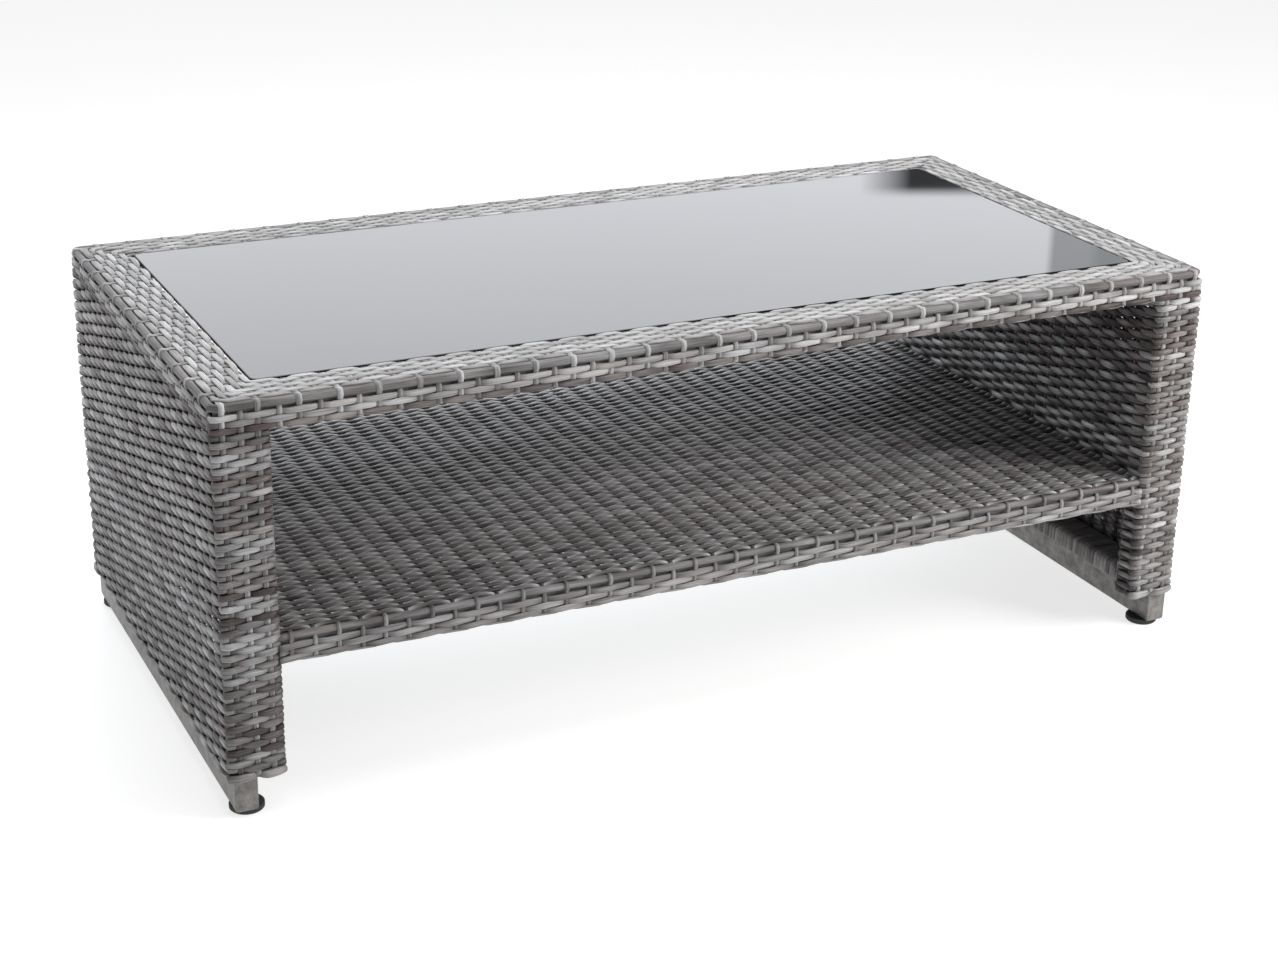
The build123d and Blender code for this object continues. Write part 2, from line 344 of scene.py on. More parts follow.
def weave_row(strands, route, crossings, signs, z, facing, rng, half=0.495 * ROW,
              thick=WEFT_THICK, swing=WEFT_SWING, profile=WEFT_PROFILE, steps=STEPS, wave=None,
              taper=0.13, side_taper=None, notch=0.0, corners=None, jitter=0.22, tilt=0.65,
              bulge=0.0, flare=0.0, light=0.55, spread=0.2, warm=0.25, shade=0.09,
              side_shade=None, side_painted_shade=0.0):
    """One weft: over a stake where its sign is 1, under it where it is -1.

    Shape: taper narrows it at a dip and notch beside one, corners are where it widens, jitter,
    wave, tilt and bulge move it across its face and flare outwards. Tone: shade is a painted
    highlight at a crest and painted shade at a dip, the other way round where it is below 0. The
    side_ values hold on faces to the left and right, where painted shade can also darken the tone.
    """
    order = np.argsort(crossings)
    crossings, signs = crossings[order], signs[order]
    t = places_between(crossings, steps, 0.0, route.length, route.closed)
    if route.closed:
        padded = np.concatenate(
            [[crossings[-1] - route.length], crossings, [crossings[0] + route.length]]
        )
        padded_signs = np.concatenate([[signs[-1]], signs, [signs[0]]])
    else:
        padded = np.concatenate([[2 * crossings[0] - crossings[1]], crossings,
                                 [2 * crossings[-1] - crossings[-2]]])
        padded_signs = np.concatenate([[-signs[0]], signs, [-signs[-1]]])
    gentle = cosine_between(t, padded, padded_signs)
    depth = dive_between(t, padded, padded_signs)
    place, heading = route.at(t)
    right = np.stack([np.sin(heading), -np.cos(heading), np.zeros(len(t))], 1)
    sideways = np.sin(heading) ** 2
    drift = jitter * ramp_noise(t, WANDER_RUNS[0], rng)
    drift = drift + 0.6 * jitter * ramp_noise(t, WANDER_RUNS[1], rng)
    if side_taper is not None:
        taper = taper + (side_taper - taper) * sideways
    swell = 1 + taper * gentle - notch * (1 - depth ** 2) + 0.05 * ramp_noise(t, WIDTH_RUN, rng)
    if corners is not None:
        apart = np.min(np.linalg.norm(place[:, None] - corners[None], axis=2), axis=1)
        swell = swell * (1 + CORNER_SWELL * np.exp(-((apart / CORNER_REACH) ** 2)))
    drift = drift + bulge * gentle
    lift = swing * depth * (1 + 0.15 * ramp_noise(t, LIFT_RUN, rng))
    if wave is not None:
        drift = drift + wave(place)
    drift = drift + tilt * climb_between(t, padded, padded_signs)
    if facing == "side":
        out, across = right, np.tile(UP, (len(t), 1))
    elif facing == "up":
        out, across = np.tile(UP, (len(t), 1)), -right
    else:
        out, across = np.tile(-UP, (len(t), 1)), right
    middle = np.column_stack([place, np.full(len(t), float(z))])
    middle = middle + out * (lift + flare)[:, None] + across * drift[:, None]
    tone = strand_tone(t, light, spread, rng, warm)
    if side_shade is not None:
        shade = shade + (side_shade - shade) * sideways
    # Painted shade: faces to the left and right are darker, the ends' inner faces more so
    inner_face = np.abs(place[:, 0]) < BORDER_IN_X + INNER_REACH
    tone[:, 0] -= side_painted_shade * sideways * np.where(inner_face, INNER_SHADE, 1.0)
    # Painted highlight at a crest and painted shade at a dip, the other way round where shade is
    # below 0
    tone[:, 0] = np.clip(tone[:, 0] + shade * (0.5 * gentle + 0.5 * depth), 0, 1)
    if route.closed:
        fade = np.clip((t - (route.length - SEAM_FADE)) / SEAM_FADE, 0, 1)[:, None]
        tone = tone * (1 - fade) + tone[0] * fade
    strands.add(middle, out, across, half * swell, thick, t, tone, profile, route.closed)


def stake_wander(number, rows):
    """How far a stake strays sideways at each row."""
    rng = np.random.default_rng([11, int(number)])
    a, b, c = rng.uniform(0, math.tau, 3)
    rows = np.asarray(rows, float)
    return 0.75 * np.sin(0.13 * rows + a) + 0.45 * np.sin(0.37 * rows + b) + 0.4 * math.sin(c)


def weave_stake(strands, section, origin, outward, sideways, places, values, wander, rng,
                light=0.5, start=None, end=None, half=STAKE_HALF, binder=None):
    """One stake across the rows: section is its path in the plane of outward and up.

    values say how far out it stands at each place, and binder is where it passes over the cord.
    """
    order = np.argsort(places)
    places, values, wander = places[order], values[order], wander[order]
    if np.ndim(light) > 0:
        light = light[order]
    start = 0.0 if start is None else start
    end = section.length if end is None else end
    t = places_between(places, STAKE_STEPS, start, end, section.closed)
    if section.closed:
        gap = section.length
        padded = np.concatenate([[places[-1] - gap], places, [places[0] + gap]])
        padded_values = np.concatenate([[values[-1]], values, [values[0]]])
        padded_wander = np.concatenate([[wander[-1]], wander, [wander[0]]])
    else:
        padded = np.concatenate([[start - 1], places, [end + 1]])
        padded_values = np.concatenate([[0.0], values, [0.0]])
        padded_wander = np.concatenate([[wander[0]], wander, [wander[-1]]])
    offset = cosine_between(t, padded, padded_values)
    aside = np.interp(t, padded, padded_wander)
    place, heading = section.at(t)
    out = np.sin(heading)[:, None] * outward - np.cos(heading)[:, None] * UP
    middle = (
        origin
        + (place[:, 0] + np.sin(heading) * offset)[:, None] * outward
        + (place[:, 1] - np.cos(heading) * offset)[:, None] * UP
        + aside[:, None] * sideways
    )
    across = np.tile(sideways, (len(t), 1))
    if np.ndim(light) > 0:
        light = np.interp(t, places, light)
    tone = strand_tone(t, light, 0.12, rng, 0.12)
    if binder is not None:
        near = np.exp(-(((t - binder) / BINDER_REACH) ** 4))
        half = half + BINDER_SPREAD * near
        tone[:, 0] = tone[:, 0] + BINDER_LIGHT * near
    strands.add(middle, out, across, half, STAKE_THICK, t, tone, STAKE_PROFILE, section.closed)


# --- Stakes round the table: place, direction and number ---

corner_in = np.array(CORNER_PLACES)
front_middle = -BORDER_IN_X + (np.arange(FRONT_STAKES) + 0.5) * 2 * BORDER_IN_X / FRONT_STAKES
front_x = np.concatenate([-HALF_LENGTH + corner_in, front_middle, (HALF_LENGTH - corner_in)[::-1]])
side_y = -HALF_WIDTH + (np.arange(SIDE_COUNT) + 0.5) * 2 * HALF_WIDTH / SIDE_COUNT
FRONT_COUNT = len(front_x)
BORDER_WIDE = HALF_LENGTH - BORDER_IN_X
NO_END = 999.0               # reach of a stake that crosses the whole border


class Stake:
    def __init__(self, place, outward, number, from_corner):
        self.place = np.array(place, float)
        self.outward = np.array(outward, float)
        self.sideways = np.array([-outward[1], outward[0]], float)
        self.number = number
        # How far in from the edge it runs: near a corner, as far as the corner's diagonal
        self.reach = from_corner - 1.0 if from_corner < BORDER_WIDE else NO_END

    def point(self, row):
        return self.place + self.sideways * stake_wander(self.number, row)


outer_stakes = []            # numbered anticlockwise from the front's left end
for face_places, face_outward in (
    ([(x, -HALF_WIDTH) for x in front_x], (0, -1)),
    ([(HALF_LENGTH, y) for y in side_y], (1, 0)),
    ([(x, HALF_WIDTH) for x in front_x[::-1]], (0, 1)),
    ([(-HALF_LENGTH, y) for y in side_y[::-1]], (-1, 0)),
):
    for x, y in face_places:
        from_corner = HALF_LENGTH - abs(x) if face_outward[0] == 0 else HALF_WIDTH - abs(y)
        outer_stakes.append(Stake((x, y), face_outward, len(outer_stakes), from_corner))


def plan_ring(inset, radius, inward=False):
    """Path round the table, inset from its outline. Inward: its right side faces the glass."""
    x, y = HALF_LENGTH - inset, HALF_WIDTH - inset
    corners = [(-x, -y), (x, -y), (x, y), (-x, y)]
    if inward:
        corners = corners[::-1]
    return Route(corners, radius, True)


def over_signs(row, numbers):
    """1 where the weft of this row runs over the stake."""
    return np.where((row + np.asarray(numbers)) % 2 == 0, 1.0, -1.0)


# Rows by number: end rows, apron rows, the edge cord, the top's rows, then inwards and under
APRON_FIRST = END_ROWS
CORD_ROW = APRON_FIRST + APRON_ROWS
TOP_FIRST = CORD_ROW + 2      # the strands over the cord are over the first row too
INNER_FIRST = TOP_FIRST + TOP_ROWS
UNDER_FIRST = INNER_FIRST + INNER_ROWS


def row_level(row):
    return WEAVE_LOW + ROW * (row + 0.5)


def top_inset(row):
    return 2 * CORD_RADIUS - 0.2 + TOP_PITCH * (row - TOP_FIRST + 0.5)


def inner_level(row):
    return row_level(APRON_FIRST + INNER_ROWS - 1 - (row - INNER_FIRST))


def under_inset(row):
    """From the inner face outwards."""
    wide = HALF_WIDTH - BORDER_IN_Y
    return wide - (row - UNDER_FIRST + 0.5) * wide / UNDER_ROWS


# --- Materials ---


def new_material(name):
    material = bpy.data.materials.new(name)
    material.use_nodes = True
    tree = material.node_tree
    return material, tree, tree.nodes["Principled BSDF"]


def node(tree, kind, inputs=None, **settings):
    made = tree.nodes.new(kind)
    for key, value in settings.items():
        setattr(made, key, value)
    for key, value in (inputs or {}).items():
        socket = made.inputs[key]
        if isinstance(value, bpy.types.NodeSocket):
            tree.links.new(value, socket)
        else:
            socket.default_value = value
    return made


def math_node(tree, operation, a, b, c=None, clamp=False):
    inputs = {0: a, 1: b} if c is None else {0: a, 1: b, 2: c}
    return node(tree, "ShaderNodeMath", inputs, operation=operation, use_clamp=clamp).outputs[0]


def noise(tree, place, scale, detail, roughness=0.5):
    return node(tree, "ShaderNodeTexNoise", {"Vector": place, "Scale": scale, "Detail": detail,
                                             "Roughness": roughness}).outputs["Fac"]


def colour_ramp(tree, value, stops):
    made = node(tree, "ShaderNodeValToRGB", {0: value})
    ramp = made.color_ramp
    while len(ramp.elements) < len(stops):
        ramp.elements.new(0.5)
    for element, (place, colour) in zip(ramp.elements, stops):
        element.position = place
        element.color = (*colour, 1.0)
    return made.outputs[0]


def finish_shader(tree, shader, colour, rough, height=None, strength=0.3, distance=0.0002):
    """Links colour, roughness and, with a height, bump."""
    tree.links.new(colour, shader.inputs["Base Color"])
    tree.links.new(rough, shader.inputs["Roughness"])
    if height is not None:
        bump = node(tree, "ShaderNodeBump", {"Height": height, "Strength": strength,
                                             "Distance": distance})
        tree.links.new(bump.outputs[0], shader.inputs["Normal"])


def wicker_material(name, ridges):
    """Synthetic strand: grey and brown streaks along it, fine ridges and a soft sheen."""
    material, tree, shader = new_material(name)
    tone = node(tree, "ShaderNodeAttribute", attribute_name="tone")
    parts = node(tree, "ShaderNodeSeparateColor", {0: tone.outputs["Color"]})
    light, warmth, own = parts.outputs[0], parts.outputs[1], parts.outputs[2]
    strand = node(tree, "ShaderNodeUVMap", uv_map="strand")
    uv = node(tree, "ShaderNodeSeparateXYZ", {0: strand.outputs[0]})
    across, along = uv.outputs[0], uv.outputs[1]
    streak_place = node(tree, "ShaderNodeCombineXYZ", {
        0: math_node(tree, "MULTIPLY", across, 5.0),
        1: math_node(tree, "MULTIPLY", along, 0.22),
        2: math_node(tree, "MULTIPLY", own, 90.0),
    })
    streaks = noise(tree, streak_place.outputs[0], 1.0, 3.0, 0.55)
    streak = math_node(tree, "SUBTRACT", streaks, 0.5)
    value = math_node(tree, "ADD", light, math_node(tree, "MULTIPLY", streak, 0.75), clamp=True)
    grey = colour_ramp(tree, value, [
        (0.0, (0.030, 0.027, 0.028)),
        (0.3, (0.092, 0.087, 0.086)),
        (0.6, (0.225, 0.222, 0.222)),
        (1.0, (0.500, 0.505, 0.515)),
    ])
    brown = colour_ramp(tree, value, [
        (0.0, (0.034, 0.023, 0.023)),
        (0.4, (0.112, 0.088, 0.085)),
        (1.0, (0.380, 0.350, 0.330)),
    ])
    # By number, because the mix node has these sockets once for each kind of data
    mixed = node(tree, "ShaderNodeMix", {0: warmth, 6: grey, 7: brown}, data_type="RGBA")
    ridge = math_node(tree, "SINE", math_node(tree, "MULTIPLY", across, math.tau * ridges), 0.5)
    # Painted shade: the colour is darker in the ridges' grooves
    groove = math_node(tree, "MULTIPLY_ADD", ridge, 0.5, 0.5)
    darker = math_node(tree, "MULTIPLY_ADD", groove, 0.18, 0.84)
    shade = node(tree, "ShaderNodeVectorMath", {0: mixed.outputs[2], 1: darker},
                 operation="MULTIPLY")
    rough = math_node(tree, "MULTIPLY_ADD", streaks, 0.22, 0.36)
    height = math_node(tree, "MULTIPLY_ADD", ridge, 0.5, streaks)
    finish_shader(tree, shader, shade.outputs[0], rough, height, 0.35, 0.0004)
    shader.inputs["Specular IOR Level"].default_value = 0.2
    return material


def metal_material(name, dark, light, roughness, blotch, brushed, metallic=1.0):
    """Metal with cloudy blotches and fine lines drawn out along it."""
    material, tree, shader = new_material(name)
    place = node(tree, "ShaderNodeTexCoord").outputs["Object"]
    blotches = noise(tree, place, blotch, 5.0, 0.6)
    stretched = node(tree, "ShaderNodeMapping", {"Vector": place, "Scale": brushed})
    lines = noise(tree, stretched.outputs[0], 1.0, 4.0)
    value = math_node(tree, "ADD", math_node(tree, "MULTIPLY", blotches, 0.75),
                      math_node(tree, "MULTIPLY", lines, 0.25))
    colour = colour_ramp(tree, value, [(0.36, dark), (0.62, light)])
    rough = math_node(tree, "MULTIPLY_ADD", value, 0.3, roughness)
    finish_shader(tree, shader, colour, rough, lines, 0.25, 0.0003)
    shader.inputs["Metallic"].default_value = metallic
    return material


def plain_material(name, dark, light, roughness, scale):
    """Moulded plastic or rubber with a fine grain."""
    material, tree, shader = new_material(name)
    grain = noise(tree, node(tree, "ShaderNodeTexCoord").outputs["Object"], scale, 4.0, 0.6)
    colour = colour_ramp(tree, grain, [(0.35, dark), (0.68, light)])
    rough = math_node(tree, "MULTIPLY_ADD", grain, 0.2, roughness)
    finish_shader(tree, shader, colour, rough, grain)
    return material


def dark_glass_material():
    material, tree, shader = new_material("dark_glass")
    clouds = noise(tree, node(tree, "ShaderNodeTexCoord").outputs["Object"], 3.0, 3.0)
    colour = colour_ramp(tree, clouds, [(0.3, (0.010, 0.011, 0.012)),
                                        (0.7, (0.016, 0.017, 0.018))])
    finish_shader(tree, shader, colour, math_node(tree, "MULTIPLY_ADD", clouds, 0.02, 0.015))
    shader.inputs["IOR"].default_value = 1.52
    return material


weft_material = wicker_material("woven_weft", 6)
stake_material = wicker_material("woven_stake", 2)
cord_material = wicker_material("edge_cord", 9)
tube_material = metal_material("hidden_tube", (0.10, 0.10, 0.105), (0.16, 0.16, 0.165), 0.45, 30.0,
                               (400.0, 400.0, 20.0), metallic=0.6)
bare_material = metal_material("bare_aluminium", (0.10, 0.094, 0.089), (0.25, 0.24, 0.23), 0.34,
                               70.0, (900.0, 25.0, 900.0), metallic=0.4)
steel_material = metal_material("plated_steel", (0.50, 0.50, 0.52), (0.72, 0.72, 0.73), 0.2, 90.0,
                                (300.0, 300.0, 900.0))
plastic_material = plain_material("black_plastic", (0.008, 0.008, 0.009), (0.022, 0.022, 0.024),
                                  0.42, 260.0)
rubber_material = plain_material("bumper_rubber", (0.012, 0.012, 0.012), (0.03, 0.03, 0.03), 0.65,
                                 400.0)

# Materials of the CAD nodes whose names start so; the other nodes are tubes
NODE_MATERIALS = {
    "glass_top": dark_glass_material(),
    "glass_bumpers": rubber_material,
    "post_plugs": plastic_material,
    "sled_rail": bare_material,
    "sled_end_plates": bare_material,
    "glide_base": plastic_material,
    "glide_stud": steel_material,
    "glide_inserts": steel_material,
    "shelf_bolts": steel_material,
    "shelf_rivet_nuts": steel_material,
}
for name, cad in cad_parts.items():
    chosen = tube_material
    for start, material in NODE_MATERIALS.items():
        if name.startswith(start):
            chosen = material
    cad.data.materials.clear()
    cad.data.materials.append(chosen)
    for polygon in cad.data.polygons:
        polygon.material_index = 0

# --- The two woven ends ---

DARK_SHARE = 0.22            # of the end rows
FOOT_SHADE, FOOT_ROWS = 0.11, 24        # the lower rows are darker: painted shade
FLARE, FLARE_RUN = 2.2, 9.0             # the weave's lower edge stands out
LOWEST_HALF, LOWEST_DROP = 0.66 * ROW, 2.4
SKIRT_ROWS = int((SHELF_LOW - WEAVE_LOW) / ROW)     # rows below the shelf
TIGHT_ROWS = 10              # above those, tight too: the floor would show through their holes
REAR_PLACES = (550.8, 570.5, 588.0)     # stakes on a leg's rear face
upright = Route([(0.0, WEAVE_LOW), (0.0, BORDER_LOW + BORDER_RISE)], 0, False)


def panel_wave(seed):
    """Slow ups and downs of the rows over an end."""
    rng = np.random.default_rng([5, seed])
    a, b, c = rng.uniform(0, math.tau, 3)

    def wave(place):
        x, y = place[:, 0], place[:, 1]
        ripple = 0.4 * np.sin(y / 23.0 + b) * np.sin(x / 30.0 + c)
        return 0.9 * (0.6 * np.sin(y / 61.0 + a) + ripple)

    return wave


def end_flare(z):
    return FLARE * math.exp(-(z - WEAVE_LOW) / FLARE_RUN)


def end_points(end):
    """Stakes of one end, anticlockwise from the front: (x, y), number and outward direction."""
    low, high = sorted((end * BORDER_IN_X, end * HALF_LENGTH))
    leg_x = sorted(end * (HALF_LENGTH - corner_in))
    places = [(x, -HALF_WIDTH, (0, -1)) for x in leg_x]
    places += [(high, y, (1, 0)) for y in side_y]
    places += [(x, HALF_WIDTH, (0, 1)) for x in leg_x[::-1]]
    places += [(low, y, (-1, 0)) for y in side_y[::-1]]
    first = 0 if end < 0 else FRONT_COUNT - CORNER_STAKES
    return [(x, y, first + k, outward) for k, (x, y, outward) in enumerate(places)]


def rear_points(end):
    """Stakes on the legs' rear faces, numbered so that over and under go on round each leg."""
    made = []
    for k, x in enumerate(REAR_PLACES):
        if end < 0:
            made.append((-x, LEG_BACK_Y, SIDE_COUNT + 1 - k, (0, -1)))
            made.append((-x, -LEG_BACK_Y, FRONT_COUNT + 7 + k, (0, 1)))
        else:
            made.append((x, -LEG_BACK_Y, FRONT_COUNT - 5 - k, (0, 1)))
            made.append((x, LEG_BACK_Y, FRONT_COUNT + SIDE_COUNT + 4 + k, (0, -1)))
    return made


def end_ring(end):
    near, far, y = BORDER_IN_X + SKIN_DEPTH, HALF_LENGTH - SKIN_DEPTH, HALF_WIDTH - SKIN_DEPTH
    low, high = sorted((end * near, end * far))
    radii = [LEG_BEND_OUT if abs(x) == far else LEG_BEND_IN for x in (low, high, high, low)]
    return Route([(low, -y), (high, -y), (high, y), (low, y)], radii, True)


def end_skirt(end):
    """Open path below the shelf: round each leg and over the outer face."""
    near, far = BORDER_IN_X + SKIN_DEPTH, HALF_LENGTH - SKIN_DEPTH
    y, rear = HALF_WIDTH - SKIN_DEPTH, LEG_BACK_Y + SKIN_DEPTH
    stop = far - 4.0
    corners = [(-stop, rear), (-near, rear), (-near, y), (-far, y),
               (-far, -y), (-near, -y), (-near, -rear), (-stop, -rear)]
    if end > 0:
        corners = [(-x, -y) for x, y in corners]
    inner, outer = [LEG_BEND_IN] * 2, [LEG_BEND_OUT] * 2
    return Route(corners, [0, *inner, *outer, *inner, 0], False)


def sunk(values):
    """The stakes' swing on an end's side face, under its wefts."""
    return SUNK_SWING * values - SUNK_DEPTH


def add_upright(strands, spot, out, number, first_row, last_row):
    rows = np.arange(first_row, last_row)
    outward = np.array([*out, 0.0])
    sideways = np.array([-out[1], out[0], 0.0])
    origin = np.array([*spot, 0.0]) - outward * SKIN_DEPTH
    places = np.array([row_level(r) for r in rows]) - WEAVE_LOW
    values, light = -over_signs(rows, number) * STAKE_SWING, 0.5
    if out[0] != 0:
        # On a side face the stake sinks and is darkened with painted shade
        values, light = sunk(values), SHADED_STAKE_LIGHT
    flare = np.array([end_flare(row_level(r)) for r in rows])
    rng = np.random.default_rng([31, int(number), int(abs(spot[0]))])
    weave_stake(strands, upright, origin, outward, sideways, places, values + flare,
                stake_wander(number, rows), rng, light, start=max(0.0, places[0] - ROW / 2),
                end=min(upright.length, places[-1] + ROW / 2))


def build_end(end, end_name):
    ring, skirt = end_ring(end), end_skirt(end)
    points, rear = end_points(end), rear_points(end)
    spot = np.array([p[:2] for p in points], float)
    number = np.array([p[2] for p in points])
    outward = np.array([p[3] for p in points], float)
    sideways = np.stack([-outward[:, 1], outward[:, 0]], 1)
    wave = panel_wave(1 if end < 0 else 2)
    on_inner = np.abs(spot[:, 0]) < BORDER_IN_X + 1
    in_bay = on_inner & (np.abs(spot[:, 1]) < LEG_BACK_Y)    # these end above the shelf
    upper, lower, stakes = Strands(), Strands(), Strands()
    for row in range(END_ROWS):
        rng = np.random.default_rng([21, 0 if end < 0 else 1, row])
        here = spot + sideways * np.array([stake_wander(n, row) for n in number])[:, None]
        dark = rng.uniform() < DARK_SHARE
        light = (0.36 if dark else 0.56) - FOOT_SHADE * max(0.0, 1 - row / FOOT_ROWS)
        tight = row < SKIRT_ROWS + TIGHT_ROWS
        z = row_level(row)
        look = dict(half=(0.54 if tight else 0.49) * ROW, thick=4.2 if tight else 3.4, swing=2.25,
                    wave=wave, taper=0.07, side_taper=0.0 if tight else 0.28, flare=-0.3,
                    light=light, warm=0.55 if dark else 0.28, side_shade=0.42, side_painted_shade=0.19)
        if row >= SKIRT_ROWS:
            weave_row(upper, ring, ring.near(here), over_signs(row, number), z, "side", rng,
                      **look)
            continue
        look["flare"] += end_flare(z)
        if row == 0:                       # the lowest row is wide and hangs over the edge
            look["half"] = LOWEST_HALF
            z -= LOWEST_DROP
        places = np.concatenate([skirt.near(here[~in_bay]),
                                 skirt.near(np.array([p[:2] for p in rear]))])
        numbers = np.concatenate([number[~in_bay], [p[2] for p in rear]])
        weave_row(lower, skirt, places, over_signs(row, numbers), z, "side", rng, **look)
    upper.build(f"end_rows_upper_{end_name}", weft_material,
                f"end_panel_{end_name}", f"inner_panel_{end_name}")
    lower.build(f"end_rows_lower_{end_name}", weft_material,
                f"leg_wicker_{end_name}_front", f"leg_wicker_{end_name}_back")
    # Stakes of the inner face and the legs' rear faces. The others go on over the border
    for (x, y, n, out), inner, short in zip(points, on_inner, in_bay):
        if inner:
            add_upright(stakes, (x, y), out, n, SKIRT_ROWS if short else 0, END_ROWS)
    for x, y, n, out in rear:
        add_upright(stakes, (x, y), out, n, 0, SKIRT_ROWS)
    stakes.build(f"inner_stakes_{end_name}", stake_material)


build_end(-1, "left")
build_end(1, "right")

# --- The border round the glass ---

border_rows, border_stakes, border_cord = Strands(), Strands(), Strands()


def stakes_for(inset):
    return [s for s in outer_stakes if s.reach >= inset]


def border_row(route, stakes, row, inset, z, facing, rng, **look):
    spots = np.array([s.point(row) - s.outward * inset for s in stakes])
    signs = over_signs(row, [s.number for s in stakes])
    weave_row(border_rows, route, route.near(spots), signs, z, facing, rng, **look)


for row in range(APRON_FIRST, CORD_ROW):
    # Painted shade: the lowest apron row is darker and browner, along the border's lower edge
    lowest = row == APRON_FIRST
    border_row(plan_ring(SKIN_DEPTH, 4.6), outer_stakes, row, SKIN_DEPTH, row_level(row), "side",
               np.random.default_rng([41, row]), half=0.495 * ROW, thick=2.8, swing=1.35,
               taper=0.04, tilt=0.3, light=0.42 if lowest else 0.62, spread=0.24,
               warm=0.75 if lowest else 0.3, shade=0.10)
for row in range(TOP_FIRST, INNER_FIRST):
    first, innermost = row == TOP_FIRST, row == INNER_FIRST - 1
    inset = top_inset(row) - (0.8 if first else 0.0)
    bends = np.array([(x * (HALF_LENGTH - inset - 2), y * (HALF_WIDTH - inset - 2))
                      for x in (-1, 1) for y in (-1, 1)])
    border_row(plan_ring(inset, 5.0), stakes_for(inset), row, inset, TOP - SKIN_DEPTH, "up",
               np.random.default_rng([42, row]), half=(0.62 if first else 0.505) * TOP_PITCH,
               thick=2.1, swing=1.1, profile=FLAT_PROFILE, taper=0.0, notch=0.34,
               corners=None if innermost else bends, jitter=0.12,
               tilt=0.0 if innermost else 0.3, bulge=0.7 if innermost else 0.0,
               light=0.58 if first else (0.70 if innermost else 0.64), spread=0.13, warm=0.05,
               shade=0.16)
for row in range(INNER_FIRST, UNDER_FIRST):
    border_row(plan_ring(BORDER_WIDE - SKIN_DEPTH, 4.0, inward=True), stakes_for(BORDER_WIDE), row,
               BORDER_WIDE, inner_level(row), "side", np.random.default_rng([43, row]), light=0.5)
for row in range(UNDER_FIRST, UNDER_FIRST + UNDER_ROWS):
    for side in (-1, 1):
        y = side * (HALF_WIDTH - under_inset(row))
        line = Route([(side * BORDER_IN_X, y), (-side * BORDER_IN_X, y)], 0, False)
        stakes = [s for s in stakes_for(BORDER_WIDE) if s.outward[1] == side]
        border_row(line, stakes, row, under_inset(row), BORDER_LOW + SKIN_DEPTH, "down",
                   np.random.default_rng([44, row, side + 1]), half=4.2, thick=2.0, swing=0.8,
                   steps=4, light=0.5)
border_rows.build("border_rows", weft_material, "border_wicker_front", "border_wicker_back",
                  "border_wicker_left", "border_wicker_right")

# Cord along the outer edge
cord_ring = plan_ring(CORD_RADIUS - 0.6, [4.6, 3.0, 1.6, 5.0])
t = np.arange(0, cord_ring.length, 7.0)
place, heading = cord_ring.at(t)
rng = np.random.default_rng(45)
level = np.zeros(len(t))
out = np.stack([np.sin(heading), -np.cos(heading), level], 1) * math.sqrt(0.5)
out = out + UP * math.sqrt(0.5)
along = np.stack([np.cos(heading), np.sin(heading), level], 1)
middle = np.column_stack([place, np.full(len(t), TOP - CORD_RADIUS - 0.3)])
middle = middle + out * (0.25 * ramp_noise(t, 24.0, rng))[:, None]
border_cord.add(middle, out, np.cross(out, along),
                CORD_RADIUS * (1 + 0.03 * ramp_noise(t, 30.0, rng)), 2 * CORD_RADIUS, t,
                strand_tone(t, 0.47, 0.12, rng, 0.12), ROUND_PROFILE, True)
border_cord.build("border_edge_cord", cord_material)

# Stakes: up the outer face, over the cord, across the top and down inside
CORNER_IN = 1 - math.sqrt(0.5)          # a rounded corner's middle, inside the corner, in radii
STAKE_LIGHT, APRON_STAKE_LIGHT = 0.56, 0.60


